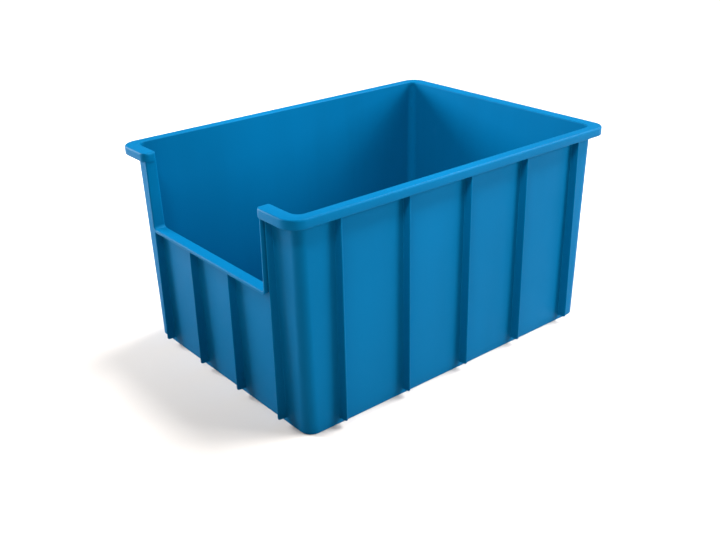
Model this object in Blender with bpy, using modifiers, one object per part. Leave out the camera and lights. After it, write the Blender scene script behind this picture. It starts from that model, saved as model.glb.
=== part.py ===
"""Open-front stacking storage bin: a thin-walled tub with fin ribs, a flat stacking rim and a cut-out front.

Metres, +Z up. The origin is under the middle of the bin, on the surface it stands on. The cut-out front faces -Y.
The moulding is split into its named features, which face each other across a gap of 0.3 mm.
"""

import bmesh
import bpy
from mathutils import Matrix, Vector

# Driving dimensions
LENGTH = 0.600
WIDTH = 0.438
HEIGHT = 0.318
WALL = 0.0035
GAP = 0.0003

# Tub: half sizes of the outer skin at the floor and at the rim, with the draft of the walls between them
FOOT_HALF = Vector((0.2024, 0.2772))
TOP_HALF = Vector((0.2053, 0.2821))
CORNER_RADIUS = 0.017
CORNER_SEGMENTS = 8
FLOOR_UPSTAND = 0.008

# Rim: a flat flange with a turned-down edge
RIM_HALF = Vector((WIDTH / 2, LENGTH / 2))
RIM_INNER_HALF = TOP_HALF - Vector((WALL, WALL))
RIM_DEPTH = 0.013
RIM_RADIUS = 0.022
RIM_INNER_RADIUS = 0.0145
RIM_SPLIT_Y = RIM_INNER_HALF.y - 0.004

# Front cut-out and its border
CUT_HALF = 0.144
LIP_TOP = 0.201
LIP_THICKNESS = 0.005
FLANGE_OUTER = CUT_HALF + WALL
POST_LEG = 0.030

# Fin ribs
RIB_THICKNESS = 0.0035
RIB_FOOT_Z = 0.009
RIB_EDGE = Vector((0.2150, 0.2915))
RIB_DRAFT = 0.0010
SIDE_RIB_FIRST_Y = -0.222
SIDE_RIB_PITCH = 0.114
SIDE_RIB_COUNT = 5
INNER_RIB_X = 0.050
OUTER_RIB_X = 0.1515

WALL_TOP = HEIGHT - WALL - GAP
LIP_UNDERSIDE = LIP_TOP - LIP_THICKNESS - GAP
BLUE = (0.003, 0.165, 0.455, 1.0)
PARTS = "storage_bin"
CUTTERS = "cutters"


def clear_scene():
    for ob in list(bpy.data.objects):
        bpy.data.objects.remove(ob, do_unlink=True)


def new_collection(name):
    group = bpy.data.collections.new(name)
    bpy.context.scene.collection.children.link(group)
    return group


def plastic(name, shade):
    """Satin moulded polypropylene in the bin's blue."""
    mat = bpy.data.materials.new(name)
    mat.use_nodes = True
    shader = mat.node_tree.nodes["Principled BSDF"]
    colour = [channel * shade for channel in BLUE[:3]] + [1.0]
    shader.inputs["Base Color"].default_value = colour
    shader.inputs["Roughness"].default_value = 0.42
    shader.inputs["Metallic"].default_value = 0.0
    mat.diffuse_color = colour
    return mat


def add_part(name, data, shade=1.0):
    ob = bpy.data.objects.new(name, data)
    bpy.data.collections[PARTS].objects.link(ob)
    ob.data.materials.clear()
    ob.data.materials.append(plastic(name, shade))
    return ob


def box_cutter(name, low, high):
    """A box from its lowest to its highest corner."""
    low, high = Vector(low), Vector(high)
    bm = bmesh.new()
    bmesh.ops.create_cube(bm, size=1.0)
    bmesh.ops.scale(bm, vec=high - low, verts=bm.verts)
    bmesh.ops.translate(bm, vec=(low + high) / 2, verts=bm.verts)
    mesh = bpy.data.meshes.new(name)
    bm.to_mesh(mesh)
    bm.free()
    return add_cutter(name, mesh)


def add_cutter(name, mesh):
    ob = bpy.data.objects.new(name, mesh)
    bpy.data.collections[CUTTERS].objects.link(ob)
    ob.hide_render = True
    ob.display_type = "WIRE"
    return ob


def boolean(ob, cutter, operation):
    mod = ob.modifiers.new(cutter.name, "BOOLEAN")
    mod.operation = operation
    mod.solver = "EXACT"
    mod.object = cutter


def rounded_box(name, half, radius, bottom, top):
    """A box between two heights whose upright corners are rounded."""
    bm = bmesh.new()
    bmesh.ops.create_cube(bm, size=2.0)
    bmesh.ops.scale(bm, vec=(half.x, half.y, (top - bottom) / 2), verts=bm.verts)
    bmesh.ops.translate(bm, vec=(0, 0, (top + bottom) / 2), verts=bm.verts)
    round_upright_corners(bm, radius)
    mesh = bpy.data.meshes.new(name)
    bm.to_mesh(mesh)
    bm.free()
    return mesh


def round_upright_corners(bm, radius):
    upright = [e for e in bm.edges if abs(e.verts[0].co.z - e.verts[1].co.z) > 0.001]
    bmesh.ops.bevel(
        bm,
        geom=upright,
        offset=radius,
        offset_type="OFFSET",
        segments=CORNER_SEGMENTS,
        profile=0.5,
        affect="EDGES",
    )
    bmesh.ops.recalc_face_normals(bm, faces=bm.faces)


def tub_skin():
    """The tub's outer skin, open at the top, with drafted walls and rounded upright corners."""
    bm = bmesh.new()
    bmesh.ops.create_cube(bm, size=2.0)
    top = [f for f in bm.faces if f.normal.z > 0.5]
    bmesh.ops.delete(bm, geom=top, context="FACES_ONLY")
    for v in bm.verts:
        half = TOP_HALF if v.co.z > 0 else FOOT_HALF
        v.co = (v.co.x * half.x, v.co.y * half.y, HEIGHT if v.co.z > 0 else 0.0)
    round_upright_corners(bm, CORNER_RADIUS)
    mesh = bpy.data.meshes.new("tub_skin")
    bm.to_mesh(mesh)
    bm.free()
    return mesh


def tub_slice(name, skin, low, high, shade=1.0):
    """The part of the tub's wall that lies inside a box."""
    ob = add_part(name, skin.copy(), shade)
    solid = ob.modifiers.new("wall", "SOLIDIFY")
    solid.thickness = WALL
    solid.offset = -1.0
    solid.use_even_offset = True
    boolean(ob, box_cutter(name + "_slice", low, high), "INTERSECT")
    return ob


def make_tub(skin):
    far = 0.5
    post_x = FLANGE_OUTER + GAP
    side_y = FOOT_HALF.y - POST_LEG
    back_x = FOOT_HALF.x - POST_LEG
    base = FLOOR_UPSTAND + GAP
    tub_slice("floor_pan", skin, (-far, -far, -far), (far, far, FLOOR_UPSTAND), 0.8)
    for side, sign in (("left", -1), ("right", 1)):
        near, out = sorted((sign * 0.1, sign * far))
        low, high = (near, -side_y, base), (out, side_y, WALL_TOP)
        tub_slice(side + "_wall", skin, low, high)
        near, out = sorted((sign * post_x, sign * far))
        low, high = (near, -far, base), (out, -side_y - GAP, WALL_TOP)
        tub_slice("front_post_" + side, skin, low, high, 0.9)
        near, out = sorted((sign * (back_x + GAP), sign * far))
        low, high = (near, side_y + GAP, base), (out, far, WALL_TOP)
        tub_slice("back_corner_" + side, skin, low, high, 0.9)
    tub_slice("back_wall", skin, (-back_x, 0.1, base), (back_x, far, WALL_TOP))
    low, high = (-FLANGE_OUTER, -far, base), (FLANGE_OUTER, -0.1, LIP_UNDERSIDE)
    tub_slice("front_wall", skin, low, high)


def rim_slice(name, low, high, cuts):
    """The part of the rim's flange that lies inside a box."""
    ring = rounded_box(name, RIM_HALF, RIM_RADIUS, HEIGHT - RIM_DEPTH, HEIGHT)
    ob = add_part(name, ring, 1.15)
    for cut in cuts:
        boolean(ob, cut, "DIFFERENCE")
    boolean(ob, box_cutter(name + "_slice", low, high), "INTERSECT")


def make_rim():
    """The flange around the top, hollow from below, with a way left for the cut-out."""
    below = HEIGHT - 2 * RIM_DEPTH
    above = HEIGHT + RIM_DEPTH
    mouth = rounded_box("rim_mouth", RIM_INNER_HALF, RIM_INNER_RADIUS, below, above)
    hollow_half = RIM_HALF - Vector((WALL, WALL))
    hollow = rounded_box("rim_hollow", hollow_half, RIM_RADIUS - WALL, below, HEIGHT - WALL)
    cuts = [add_cutter("rim_mouth", mouth), add_cutter("rim_hollow", hollow)]
    far = 0.5
    flange_room = FLANGE_OUTER + GAP
    room_top = WALL_TOP + 2 * GAP
    room = box_cutter("flange_room", (-flange_room, -far, below), (flange_room, -0.1, room_top))
    back = RIM_SPLIT_Y + GAP
    rim_slice("rim_back", (-far, back, below), (far, far, above), cuts)
    for side, sign in (("left", -1), ("right", 1)):
        near, out = sorted((sign * 0.1, sign * far))
        low, high = (near, -RIM_SPLIT_Y, below), (out, RIM_SPLIT_Y, above)
        rim_slice("rim_" + side, low, high, cuts)
        near, out = sorted((sign * CUT_HALF, sign * far))
        low, high = (near, -far, below), (out, -back, above)
        rim_slice("rim_front_" + side, low, high, cuts + [room])


def wall_half(z, axis):
    """How far the tub's outer skin stands from the middle plane at a height, on axis 0 or 1."""
    share = z / HEIGHT
    return FOOT_HALF[axis] * (1 - share) + TOP_HALF[axis] * share


def upright_plate(name, outline, thickness, outward, at, shade):
    """A flat outline of (distance outward, height) points, given a thickness and stood upright.

    outward is the direction of the outline's first coordinate, and at is the plate's place across it.
    """
    curve = bpy.data.curves.new(name, "CURVE")
    curve.dimensions = "2D"
    curve.fill_mode = "BOTH"
    curve.extrude = thickness / 2
    spline = curve.splines.new("POLY")
    spline.points.add(len(outline) - 1)
    spline.use_cyclic_u = True
    for point, (out, z) in zip(spline.points, outline):
        point.co = (out, z, 0, 1)
    ob = add_part(name, curve, shade)
    up = Vector((0, 0, 1))
    across = outward.cross(up)
    turn = Matrix((outward, up, across)).transposed()
    ob.rotation_euler = turn.to_euler()
    ob.location = at
    return ob


def rib(name, outward, at, top):
    """A fin from the tub's skin outward, from just above the floor to a height."""
    axis = 0 if outward.x else 1
    edge = RIB_EDGE[axis]
    root = [(wall_half(z, axis) + GAP, z) for z in (RIB_FOOT_Z, top)]
    fin = root + [(edge, top), (edge - RIB_DRAFT, RIB_FOOT_Z)]
    upright_plate(name, fin, RIB_THICKNESS, outward, at, 0.7)


def make_ribs():
    for side, sign in (("left", -1), ("right", 1)):
        for i in range(SIDE_RIB_COUNT):
            y = SIDE_RIB_FIRST_Y + i * SIDE_RIB_PITCH
            rib(f"{side}_rib_{i + 1}", Vector((sign, 0, 0)), Vector((0, y, 0)), WALL_TOP)
    places = [-OUTER_RIB_X, -INNER_RIB_X, INNER_RIB_X, OUTER_RIB_X]
    for i, x in enumerate(places):
        top = LIP_UNDERSIDE if abs(x) < CUT_HALF else WALL_TOP
        rib(f"front_rib_{i + 1}", Vector((0, -1, 0)), Vector((x, 0, 0)), top)
        rib(f"back_rib_{i + 1}", Vector((0, 1, 0)), Vector((x, 0, 0)), WALL_TOP)


def make_cutout_border():
    """The flat lip along the bottom of the cut-out, and the flange up each side of it."""
    outer = RIM_HALF.y
    inner = wall_half(LIP_TOP, 1) - WALL
    under = LIP_TOP - LIP_THICKNESS
    lip = [(inner, under), (outer, under), (outer, LIP_TOP), (inner, LIP_TOP)]
    front = Vector((0, -1, 0))
    upright_plate("front_lip", lip, 2 * FLANGE_OUTER, front, Vector((0, 0, 0)), 1.3)
    bottom = LIP_TOP + GAP
    top_inner = wall_half(WALL_TOP, 1) - WALL
    side = [(inner, bottom), (outer, bottom), (outer, WALL_TOP), (top_inner, WALL_TOP)]
    middle = CUT_HALF + WALL / 2
    for name, sign in (("left", -1), ("right", 1)):
        place = Vector((sign * middle, 0, 0))
        upright_plate("opening_flange_" + name, side, WALL, front, place, 1.2)


def main():
    clear_scene()
    new_collection(PARTS)
    new_collection(CUTTERS)
    make_tub(tub_skin())
    make_rim()
    make_ribs()
    make_cutout_border()


main()
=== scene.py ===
"""Looks of an open-front stacking storage bin: one satin blue moulding on a pale studio floor.

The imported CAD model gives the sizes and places. The fine pieces below stand for its nodes, and all of
them ride on the root. Metres, +Z up; the cut-out front faces -Y.
"""

import math

import bmesh
import bpy
from mathutils import Euler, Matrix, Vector


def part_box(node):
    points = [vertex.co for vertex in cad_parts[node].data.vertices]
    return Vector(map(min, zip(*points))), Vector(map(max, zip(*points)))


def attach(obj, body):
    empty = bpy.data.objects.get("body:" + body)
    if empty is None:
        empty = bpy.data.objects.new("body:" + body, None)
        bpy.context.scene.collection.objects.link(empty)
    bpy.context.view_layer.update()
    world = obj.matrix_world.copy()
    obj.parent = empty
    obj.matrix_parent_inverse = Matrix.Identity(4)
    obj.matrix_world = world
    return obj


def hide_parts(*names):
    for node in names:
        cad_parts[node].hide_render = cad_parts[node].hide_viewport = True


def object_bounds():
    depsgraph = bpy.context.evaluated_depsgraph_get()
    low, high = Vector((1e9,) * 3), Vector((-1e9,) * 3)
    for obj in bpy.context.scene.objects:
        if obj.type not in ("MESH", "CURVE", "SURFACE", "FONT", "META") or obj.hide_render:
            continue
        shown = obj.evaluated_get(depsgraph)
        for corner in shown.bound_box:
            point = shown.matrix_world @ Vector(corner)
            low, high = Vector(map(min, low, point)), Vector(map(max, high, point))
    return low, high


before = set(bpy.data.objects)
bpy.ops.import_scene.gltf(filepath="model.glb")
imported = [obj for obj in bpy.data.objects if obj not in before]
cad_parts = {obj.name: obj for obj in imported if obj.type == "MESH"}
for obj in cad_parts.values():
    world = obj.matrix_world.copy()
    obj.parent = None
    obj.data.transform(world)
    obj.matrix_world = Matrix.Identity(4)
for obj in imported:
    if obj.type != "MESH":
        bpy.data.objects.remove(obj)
cad_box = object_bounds()

MM = 0.001
BODY = "root"

# Sizes read from the CAD nodes
RIM_X, RIM_Y, TOP = cad_box[1]
RIM_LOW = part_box("rim_left")[0].z
FLOOR_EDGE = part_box("floor_pan")[1]
SIDE_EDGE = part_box("right_wall")[1]
BACK_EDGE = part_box("back_wall")[1]
LIP_LOW, LIP_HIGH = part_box("front_lip")
FLANGE_LOW, FLANGE_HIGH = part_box("opening_flange_right")
CUT_HALF = FLANGE_LOW.x
CUT_OUTER = FLANGE_HIGH.x
SHEET = CUT_OUTER - CUT_HALF
LIP_SHEET = LIP_HIGH.z - LIP_LOW.z

# Tub: corner radii in plan at the foot and at the rim, rounded base, fillet at the inner floor, ring heights
CORNER_STEPS = 14
FOOT_CORNER = 18.5 * MM
TOP_CORNER = 15.0 * MM
LEAST_CORNER = 4 * MM
BASE_ROUND = 1.6 * MM
FLOOR_FILLET = 9 * MM
SILL = LIP_LOW.z + 1.0 * MM
WALL_TOP = TOP - 1.5 * MM
LEVELS_BELOW_SILL = [20 * MM, 60 * MM, 110 * MM, 160 * MM]
LEVELS_ABOVE_SILL = [240 * MM, 290 * MM]

# Rim: corner radii in plan, rounding of its edges, the hollow under it, and its leg over the wall's top
RIM_CORNER = 25 * MM
MOUTH_CORNER = 13 * MM
RIM_EDGE_ROUND = 2.8 * MM
MOUTH_ROUND = 1.8 * MM
SKIRT_ROUND = 1.0 * MM
SKIRT_BLUNT = 0.4 * MM
HOLLOW_BEVEL = 1.0 * MM
LEG_WIDTH = 2.2 * MM
LEG_DEPTH = 2 * MM

# The rim's rounded ends beside the cut-out
NOSE_END = CUT_HALF - 1.2 * MM
NOSE_OUTER_ROUND = 10.5 * MM
NOSE_MOUTH_ROUND = 5.5 * MM
NOSE_TOP_ROUND = 4.2 * MM

# Border of the cut-out: its edges, the bend at each end of the lip (its turn at each step is in degrees),
# the places of its rings above the lip and along it, and a hair that keeps two faces out of one plane
BORDER_FRONT_ROUND = 1.7 * MM
BORDER_UNDER_ROUND = 1.1 * MM
BORDER_BACK_ROUND = 2.6 * MM
BORDER_BLUNT = 0.3 * MM
BORDER_SETBACK = 4.4 * MM
BORDER_PROUD = 0.4 * MM
FLANGE_SPREAD = 1.2 * MM
BEND_RADIUS = 5 * MM
BEND_STEPS = 8
BEND_TURN = 11
FLANGE_PLACES = (60 * MM, 20 * MM)
LIP_PLACES = (90 * MM, 45 * MM, 0.0)
HAIR = 0.05 * MM

# Fins: thickness at the edge and at the root, and how far their edges stay behind the rim's
FIN_TIP = 2.6 * MM
FIN_ROOT = 3.8 * MM
FIN_FILLET = 1.3 * MM
FILLET_SINK = 0.02 * MM
FIN_SINK = 1.2 * MM
FIN_FOOT_ROUND = 3.0 * MM
SIDE_FIN_BEHIND = 2.6 * MM
END_FIN_BEHIND = 8.6 * MM
FIN_EDGE = Vector((RIM_X - SIDE_FIN_BEHIND, RIM_Y - END_FIN_BEHIND))

# Plastic
BLUE = (0.0002, 0.094, 0.220)
ROUGHNESS = {"wall_plastic": 0.46, "rim_plastic": 0.42, "rib_plastic": 0.44}
REFRACTION = 1.49
SPECULAR_LEVEL = 0.04
SPECULAR_TINT = (0.20, 0.70, 1.0, 1.0)

# Meshes
MERGE_DISTANCE = 0.01 * MM
SHARP_ANGLE = math.radians(35)

# Camera
CAMERA_PLACE = Vector((1.0538, -0.8758, 0.7216))
CAMERA_YAW = math.radians(50.88)
CAMERA_TILT = math.radians(24.67)
CAMERA_ROLL = math.radians(-1.27)
CAMERA_LENS = 46.75
SENSOR_WIDTH = 36.0
NEAREST_SEEN = 0.01

# Studio floor, lights and backdrop
FLOOR_RADIUS = 14.0
FLOOR_SIDES = 96
FLOOR_COLOUR = (0.655, 0.62, 0.59, 1.0)
FLOOR_ROUGHNESS = 0.9
FLOOR_SPECULAR = 0.1
SOFTBOX_SIZE = 1.0
SOFTBOX_TARGET = (0.0, 0.0, 0.15)
SNOOT_SIZE = 0.2
WORLD_LIGHT = 0.12
WORLD_WHITE = 1.0


# Outlines


def quarter(steps):
    """Angles from 0 to a quarter turn."""
    return [math.pi / 2 * i / steps for i in range(steps + 1)]


def arc(centre, radius, start, end, steps):
    """Points on an arc in a plane, from one angle in degrees to another."""
    points = []
    for i in range(steps + 1):
        a = math.radians(start + (end - start) * i / steps)
        points.append((centre[0] + radius * math.cos(a), centre[1] + radius * math.sin(a)))
    return points


def rounded_foot(radius, low, steps):
    """Levels of an edge rounded at its foot, from the bottom up: (height, how far it is drawn in)."""
    levels = []
    for a in reversed(quarter(steps)):
        levels.append((low + radius * (1 - math.sin(a)), radius * (1 - math.cos(a))))
    return levels


def drawn_in(radius, into):
    """How far a rounded end is drawn in at a distance from its tip."""
    return radius - math.sqrt(max(radius**2 - max(radius - into, 0.0) ** 2, 0.0))


def outer_half(z):
    """Half sizes of the tub's outer skin at a height, along the draft of the walls."""
    x = FLOOR_EDGE.x + (SIDE_EDGE.x - FLOOR_EDGE.x) * (z - FLOOR_EDGE.z) / (SIDE_EDGE.z - FLOOR_EDGE.z)
    y = FLOOR_EDGE.y + (BACK_EDGE.y - FLOOR_EDGE.y) * (z - FLOOR_EDGE.z) / (BACK_EDGE.z - FLOOR_EDGE.z)
    return Vector((x, y))


def corner_radius(z):
    """Radius in plan of the tub's corners at a height."""
    return FOOT_CORNER + (TOP_CORNER - FOOT_CORNER) * z / TOP


def perimeter(hx, hy, radius):
    """A rounded rectangle's right half and then its left half, from front to back and to the front again."""
    right = arc((hx - radius, -hy + radius), radius, -90, 0, CORNER_STEPS)
    right += arc((hx - radius, hy - radius), radius, 0, 90, CORNER_STEPS)
    return right + [(-x, y) for x, y in reversed(right)]


# Material


def node(nt, kind, **inputs):
    """A shader node with its inputs set; an underscore in a name stands for a space."""
    made = nt.nodes.new(kind)
    for key, value in inputs.items():
        made.inputs[key.replace("_", " ")].default_value = value
    return made


def noise(nt, place, scale, detail, roughness, stretch=(1.0, 1.0, 1.0)):
    """Noise over the bin, drawn out along an axis where stretch is below 1."""
    mapping = node(nt, "ShaderNodeMapping", Scale=stretch)
    texture = node(nt, "ShaderNodeTexNoise", Scale=scale, Detail=detail, Roughness=roughness)
    nt.links.new(place, mapping.inputs["Vector"])
    nt.links.new(mapping.outputs["Vector"], texture.inputs["Vector"])
    return texture.outputs["Fac"]


def spread(nt, value, low, high, to_low, to_high):
    """A value's range mapped to another, clamped."""
    ranged = node(nt, "ShaderNodeMapRange", From_Min=low, From_Max=high, To_Min=to_low, To_Max=to_high)
    nt.links.new(value, ranged.inputs["Value"])
    return ranged.outputs["Result"]


def mix_colour(nt, share, first, second):
    """A mix of two colours, each a colour or a socket."""
    mixed = nt.nodes.new("ShaderNodeMix")
    mixed.data_type = "RGBA"
    nt.links.new(share, mixed.inputs["Factor"])
    first_socket, second_socket = mixed.inputs[6], mixed.inputs[7]
    for socket, value in ((first_socket, first), (second_socket, second)):
        if isinstance(value, bpy.types.NodeSocket):
            nt.links.new(value, socket)
        else:
            socket.default_value = (*value, 1.0)
    mixed_socket = mixed.outputs[2]
    return mixed_socket


def bump(nt, height, strength, distance):
    """A bump node over a height."""
    made = node(nt, "ShaderNodeBump", Strength=strength, Distance=distance)
    nt.links.new(height, made.inputs["Height"])
    return made


def shade(factor, lift=0.0):
    """The plastic's blue, made lighter or darker."""
    return [channel * factor + lift for channel in BLUE]


def plastic(name, slot):
    """Satin moulded polypropylene: fine grain, slow colour drift, faint flow marks and light scuffs."""
    rough = ROUGHNESS[slot]
    mat = bpy.data.materials.new(name + "_plastic")
    mat.use_nodes = True
    nt = mat.node_tree
    shader = nt.nodes["Principled BSDF"]
    place = nt.nodes.new("ShaderNodeTexCoord").outputs["Object"]

    patches = noise(nt, place, scale=4.0, detail=2.0, roughness=0.5)
    drift = spread(nt, patches, low=0.35, high=0.65, to_low=0.0, to_high=1.0)
    tone = mix_colour(nt, drift, shade(0.95), shade(1.05))
    streaks = noise(nt, place, scale=20.0, detail=4.0, roughness=0.6, stretch=(1.0, 1.0, 0.12))
    flow = spread(nt, streaks, low=0.4, high=0.6, to_low=0.0, to_high=0.3)
    flowed = mix_colour(nt, flow, tone, shade(1.10))
    specks = noise(nt, place, scale=55.0, detail=8.0, roughness=0.72, stretch=(1.0, 1.0, 0.35))
    scuffs = spread(nt, specks, low=0.64, high=0.76, to_low=0.0, to_high=0.3)
    nt.links.new(mix_colour(nt, scuffs, flowed, shade(1.15, lift=0.012)), shader.inputs["Base Color"])

    gloss = noise(nt, place, scale=14.0, detail=5.0, roughness=0.6)
    uneven = spread(nt, gloss, low=0.3, high=0.7, to_low=rough - 0.05, to_high=rough + 0.08)
    nt.links.new(uneven, shader.inputs["Roughness"])
    shader.inputs["IOR"].default_value = REFRACTION
    shader.inputs["Specular IOR Level"].default_value = SPECULAR_LEVEL
    shader.inputs["Specular Tint"].default_value = SPECULAR_TINT

    fine = noise(nt, place, scale=1400.0, detail=2.0, roughness=0.5)
    grain = bump(nt, fine, strength=0.16, distance=0.12 * MM)
    slow = noise(nt, place, scale=16.0, detail=2.0, roughness=0.5)
    wave = bump(nt, slow, strength=0.10, distance=1.2 * MM)
    nt.links.new(grain.outputs["Normal"], wave.inputs["Normal"])
    nt.links.new(wave.outputs["Normal"], shader.inputs["Normal"])
    return mat


# Pieces


def new_piece(name, verts, faces, slot):
    """A smooth-shaded mesh in its own plastic, which rides on the bin."""
    mesh = bpy.data.meshes.new(name)
    mesh.from_pydata(verts, [], faces)
    bm = bmesh.new()
    bm.from_mesh(mesh)
    bmesh.ops.remove_doubles(bm, verts=bm.verts, dist=MERGE_DISTANCE)
    bmesh.ops.recalc_face_normals(bm, faces=bm.faces)
    bm.to_mesh(mesh)
    bm.free()
    mesh.shade_smooth()
    mesh.set_sharp_from_angle(angle=SHARP_ANGLE)
    piece = bpy.data.objects.new(name, mesh)
    bpy.context.scene.collection.objects.link(piece)
    piece.data.materials.append(plastic(name, slot))
    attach(piece, BODY)
    return piece


def loft(rings):
    """Faces between closed rings of equally many points, with a cap on each end."""
    n = len(rings[0])
    verts = [p for ring in rings for p in ring]
    faces = []
    for i in range(len(rings) - 1):
        for j in range(n):
            k = (j + 1) % n
            faces.append((i * n + j, i * n + k, (i + 1) * n + k, (i + 1) * n + j))
    faces.append(tuple(range(n)))
    faces.append(tuple((len(rings) - 1) * n + j for j in reversed(range(n))))
    return verts, faces


# Tub


def skin(levels, inset):
    """Rings of the tub's skin for (height, extra inset) levels, each from the cut-out's right edge round."""
    rings = []
    for z, extra in levels:
        half = outer_half(z)
        hx, hy = half.x - inset - extra, half.y - inset - extra
        loop = perimeter(hx, hy, max(corner_radius(z) - inset - extra, LEAST_CORNER))
        points = [(CUT_OUTER, -hy)] + loop + [(-CUT_OUTER, -hy)]
        rings.append([(x, y, z) for x, y in points])
    return rings


def skin_faces(rings, start, open_rings):
    """A skin's faces, open at the front between its last rings, and where each of those rings starts."""
    n = len(rings[0])
    sill = len(rings) - open_rings
    faces = []
    for i in range(len(rings) - 1):
        low, high = start + i * n, start + (i + 1) * n
        for j in range(n if i < sill else n - 1):
            k = (j + 1) % n
            faces.append((low + j, low + k, high + k, high + j))
    faces.append(tuple(start + j for j in range(n)))
    return faces, [start + (sill + i) * n for i in range(open_rings)]


def tub():
    """Floor, walls and rounded corners in one closed shell, with the front cut down to the lip."""
    rise = [(z, 0.0) for z in LEVELS_BELOW_SILL + [SILL] + LEVELS_ABOVE_SILL + [WALL_TOP]]
    open_rings = len(LEVELS_ABOVE_SILL) + 2
    outer = skin(rounded_foot(BASE_ROUND, 0.0, steps=5) + rise, 0.0)
    inner = skin(rounded_foot(FLOOR_FILLET, SHEET, steps=6) + rise, SHEET)
    n = len(outer[0])
    verts = [p for ring in outer + inner for p in ring]
    faces, out = skin_faces(outer, 0, open_rings)
    inner_faces, inside = skin_faces(inner, len(outer) * n, open_rings)
    faces += inner_faces
    # The top of the walls, the top of the front wall, and the walls' upright ends at the cut-out
    for j in range(n - 1):
        faces.append((out[-1] + j, out[-1] + j + 1, inside[-1] + j + 1, inside[-1] + j))
    faces.append((out[0] + n - 1, out[0], inside[0], inside[0] + n - 1))
    for j in (0, n - 1):
        for i in range(open_rings - 1):
            faces.append((out[i] + j, out[i + 1] + j, inside[i + 1] + j, inside[i] + j))
    piece = new_piece("tub_shell", verts, faces, "wall_plastic")
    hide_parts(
        "floor_pan",
        "left_wall",
        "right_wall",
        "back_wall",
        "front_wall",
        "front_post_left",
        "front_post_right",
        "back_corner_left",
        "back_corner_right",
    )


# Rim


def rim_section():
    """The rim's outline: (edge it is measured from, outward, height, whether it bounds the hollow)."""
    under = TOP - SHEET
    foot = under - LEG_DEPTH
    r, m, s = RIM_EDGE_ROUND, MOUTH_ROUND, SKIRT_ROUND
    section = [("mouth", 0.0, foot, False)]
    for a in quarter(4):
        section.append(("mouth", m * (1 - math.cos(a)), TOP - m * (1 - math.sin(a)), False))
    for a in quarter(6):
        section.append(("outer", -r * (1 - math.sin(a)), TOP - r * (1 - math.cos(a)), False))
    for a in quarter(3):
        section.append(("outer", -s * (1 - math.cos(a)), RIM_LOW + s * (1 - math.sin(a)), False))
    section.append(("outer", -SHEET + SKIRT_BLUNT, RIM_LOW, False))
    section.append(("outer", -SHEET, RIM_LOW + SKIRT_BLUNT, True))
    section.append(("outer", -SHEET, under - HOLLOW_BEVEL, True))
    section.append(("outer", -SHEET - HOLLOW_BEVEL, under, True))
    section.append(("mouth", LEG_WIDTH, under, True))
    section.append(("mouth", LEG_WIDTH, foot, True))
    return section


def rim_end(section, mouth_y):
    """Rings along the rim's right rounded end, from its solid tip to where its outer edge runs straight."""
    width = RIM_Y - mouth_y
    rings = []
    for a in quarter(9):
        into = NOSE_OUTER_ROUND * (1 - math.cos(a))
        outer_y = RIM_Y - drawn_in(NOSE_OUTER_ROUND, into)
        inner_y = mouth_y + drawn_in(NOSE_MOUTH_ROUND, into)
        roof = TOP - drawn_in(NOSE_TOP_ROUND, into)
        squeeze = (outer_y - inner_y) / width
        ring = []
        for edge, out, z, hollow in section:
            y = (outer_y if edge == "outer" else inner_y) + out * squeeze
            height = RIM_LOW if hollow and into < SHEET else min(z, roof)
            ring.append((NOSE_END + into, -y, height))
        rings.append(ring)
    return rings


def rim():
    """The flange round the top: a rounded mouth, a flat face, a turned-down edge and a hollow underside."""
    half = outer_half(TOP)
    mouth_x, mouth_y = half.x - SHEET, half.y - SHEET
    section = rim_section()
    loops = []
    for edge, out, z, _ in section:
        if edge == "outer":
            outline = perimeter(RIM_X + out, RIM_Y + out, RIM_CORNER + out)
        else:
            outline = perimeter(mouth_x + out, mouth_y + out, MOUTH_CORNER + out)
        loops.append([(x, y, z) for x, y in outline])
    around = [list(ring) for ring in zip(*loops)]
    end = rim_end(section, mouth_y)
    other_end = [[(-x, y, z) for x, y, z in ring] for ring in reversed(end)]
    verts, faces = loft(end + around + other_end)
    piece = new_piece("rim_flange", verts, faces, "rim_plastic")
    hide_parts("rim_left", "rim_right", "rim_back", "rim_front_left", "rim_front_right")


# Border of the cut-out


def border_section(front, back, thick):
    """A strip with rounded edges: (distance into the plastic, y)."""
    f, u, b, blunt = BORDER_FRONT_ROUND, BORDER_UNDER_ROUND, BORDER_BACK_ROUND, BORDER_BLUNT
    outline = arc((f, front + f), f, 180, 270, steps=5)
    outline += arc((thick - u, front + u), u, 270, 360, steps=4)
    outline += arc((thick - blunt, back - blunt), blunt, 0, 90, steps=2)
    return outline + arc((b, back - b), b, 90, 180, steps=6)


def border_path():
    """The strip's way down the right flange, along the lip and up the left one: (x, z, turn in degrees)."""
    top = TOP - SHEET
    lip = LIP_HIGH.z
    side = CUT_HALF - BORDER_PROUD
    slope = (FLANGE_SPREAD + BORDER_PROUD) / (top - lip)
    levels = [top] + [lip + above for above in FLANGE_PLACES]
    path = [(side + slope * (z - lip), z, 0.0) for z in levels]
    bend = arc((side - BEND_RADIUS, lip + BEND_RADIUS), BEND_RADIUS, 0, -90, BEND_STEPS)
    path += [(x, z, BEND_TURN * i) for i, (x, z) in enumerate(bend)]
    path += [(x, lip, 90.0) for x in LIP_PLACES]
    return path + [(-x, z, 180.0 - turn) for x, z, turn in reversed(path[:-1])]


def border():
    """The flange up both sides of the cut-out and the lip between them, in one bent strip."""
    rings = []
    for x, z, turn in border_path():
        a = math.radians(turn)
        away = Vector((math.cos(a), 0.0, -math.sin(a)))
        thick = SHEET + (LIP_SHEET - SHEET) * abs(math.sin(a))
        back = HAIR - (outer_half(z).y - SHEET)
        ring = []
        for into, y in border_section(BORDER_SETBACK - RIM_Y, back, thick):
            ring.append(tuple(Vector((x, y, z)) + away * into))
        rings.append(ring)
    verts, faces = loft(rings)
    piece = new_piece("cutout_border", verts, faces, "rim_plastic")
    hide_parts("front_lip", "opening_flange_left", "opening_flange_right")


# Fins


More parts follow.
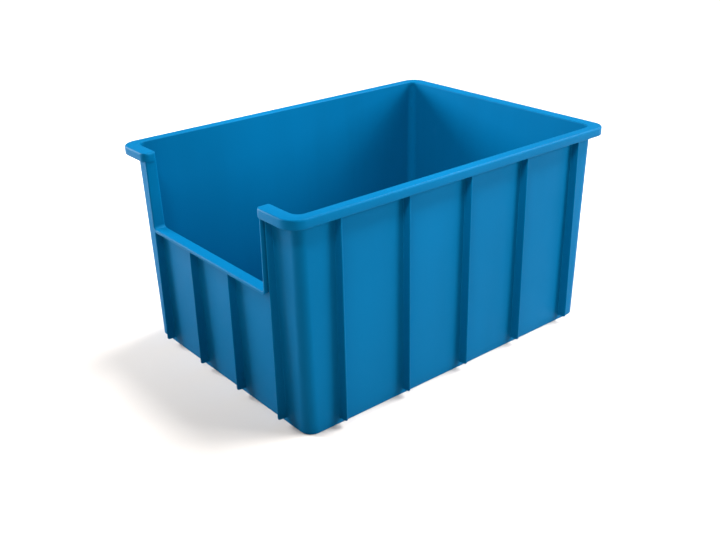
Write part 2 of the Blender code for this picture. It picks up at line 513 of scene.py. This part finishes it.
def fin_section(wall, edge):
    """A fin's outline with a fillet on each side of its root: (distance outward, place across)."""
    fillet, root, tip = FIN_FILLET, FIN_ROOT / 2, FIN_TIP / 2
    half = [(wall - FIN_SINK, root + fillet)]
    for a in quarter(8):
        half.append((wall - FILLET_SINK + fillet * (1 - math.cos(a)), root + fillet * (1 - math.sin(a))))
    half += [(edge - tip + tip * math.sin(a), tip * math.cos(a)) for a in quarter(5)]
    return half + [(out, -side) for out, side in reversed(half[:-1])]


def fin(name, outward, at, foot, top, edge):
    """An upright fin with a rounded edge and foot."""
    axis = 0 if outward.x else 1
    across = Vector((outward.y, outward.x, 0.0))
    levels = rounded_foot(FIN_FOOT_ROUND, foot, steps=4)
    levels += [(foot + (top - foot) * share, 0.0) for share in (0.25, 0.5, 0.75, 1.0)]
    rings = []
    for z, pull in levels:
        section = fin_section(outer_half(z)[axis], edge - pull)
        centre = at + Vector((0.0, 0.0, z))
        rings.append([tuple(outward * out + across * side + centre) for out, side in section])
    verts, faces = loft(rings)
    piece = new_piece(name + "_fin", verts, faces, "rib_plastic")
    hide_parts(name)


def fins():
    """One fin for each CAD rib, at its place and height."""
    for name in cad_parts:
        if "_rib_" not in name:
            continue
        low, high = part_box(name)
        middle = (low + high) / 2
        if name.startswith(("left", "right")):
            outward = Vector((math.copysign(1.0, middle.x), 0.0, 0.0))
            at, edge = Vector((0.0, middle.y, 0.0)), FIN_EDGE.x
        else:
            outward = Vector((0.0, math.copysign(1.0, middle.y), 0.0))
            at, edge = Vector((middle.x, 0.0, 0.0)), FIN_EDGE.y
        fin(name, outward, at, low.z, high.z, edge)


# Studio


def camera():
    """The view of the photograph, turned by yaw, tilt and roll."""
    data = bpy.data.cameras.new("camera")
    data.lens = CAMERA_LENS
    data.sensor_width = SENSOR_WIDTH
    data.clip_start = NEAREST_SEEN
    ob = bpy.data.objects.new("camera", data)
    turn = Euler((math.pi / 2 - CAMERA_TILT, 0.0, CAMERA_YAW)).to_matrix()
    roll = Euler((0.0, 0.0, CAMERA_ROLL)).to_matrix()
    ob.matrix_world = (turn @ roll).to_4x4()
    ob.location = CAMERA_PLACE
    bpy.context.scene.collection.objects.link(ob)
    bpy.context.scene.camera = ob


def floor():
    """A wide pale disc under the bin."""
    bpy.ops.mesh.primitive_circle_add(
        vertices=FLOOR_SIDES, radius=FLOOR_RADIUS, fill_type="NGON", location=(0, 0, 0)
    )
    ground = bpy.context.object
    ground.name = "studio_floor"
    mat = bpy.data.materials.new("studio_floor")
    mat.use_nodes = True
    shader = mat.node_tree.nodes["Principled BSDF"]
    shader.inputs["Base Color"].default_value = FLOOR_COLOUR
    shader.inputs["Roughness"].default_value = FLOOR_ROUGHNESS
    shader.inputs["Specular IOR Level"].default_value = FLOOR_SPECULAR
    ground.data.materials.append(mat)


def aim(name, data, place, target):
    """A light at a place, pointing at a target."""
    ob = bpy.data.objects.new(name, data)
    ob.location = place
    ob.rotation_euler = (Vector(place) - Vector(target)).to_track_quat("Z", "Y").to_euler()
    bpy.context.scene.collection.objects.link(ob)


def overcast(name, place, strength, angle):
    """A wide soft light from far away, so that the floor is evenly lit to its far edge."""
    data = bpy.data.lights.new(name, "SUN")
    data.energy = strength
    data.angle = math.radians(angle)
    aim(name, data, place, (0, 0, 0))


def softbox(name, place, power):
    """A square soft light aimed at the bin's middle."""
    data = bpy.data.lights.new(name, "AREA")
    data.shape = "SQUARE"
    data.size = SOFTBOX_SIZE
    data.energy = power
    aim(name, data, place, SOFTBOX_TARGET)


def snoot(name, place, target, angle, power):
    """A soft narrow light for the inside of the tub."""
    data = bpy.data.lights.new(name, "SPOT")
    data.spot_size = math.radians(angle)
    data.spot_blend = 1.0
    data.shadow_soft_size = SNOOT_SIZE
    data.energy = power
    aim(name, data, place, target)


def lights():
    """A broad light from above and behind, three soft boxes at the sides, and a fill for the inside."""
    overcast("top_light", place=(0.10, 0.635, 0.766), strength=6.5, angle=38)
    softbox("left_softbox", place=(-2.0, -0.95, 0.7), power=22)
    softbox("front_softbox", place=(-2.0, -1.25, 1.1), power=115)
    softbox("right_softbox", place=(1.95, 1.7, 1.1), power=86)
    snoot("inner_fill", place=(0.55, -0.72, 1.35), target=(-0.12, 0.20, 0.18), angle=36, power=135)


def backdrop():
    """A dim world whose own light is faint, shown to the view as white so that the floor has no horizon."""
    world = bpy.data.worlds.new("studio")
    bpy.context.scene.world = world
    world.use_nodes = True
    nt = world.node_tree
    light = nt.nodes["Background"]
    light.inputs["Color"].default_value = (1.0, 1.0, 1.0, 1.0)
    seen = nt.nodes.new("ShaderNodeLightPath").outputs["Is Camera Ray"]
    strength = spread(nt, seen, low=0.0, high=1.0, to_low=WORLD_LIGHT, to_high=WORLD_WHITE)
    nt.links.new(strength, light.inputs["Strength"])


camera()
tub()
rim()
border()
fins()
floor()
lights()
backdrop()
bpy.context.scene.view_settings.view_transform = "Standard"
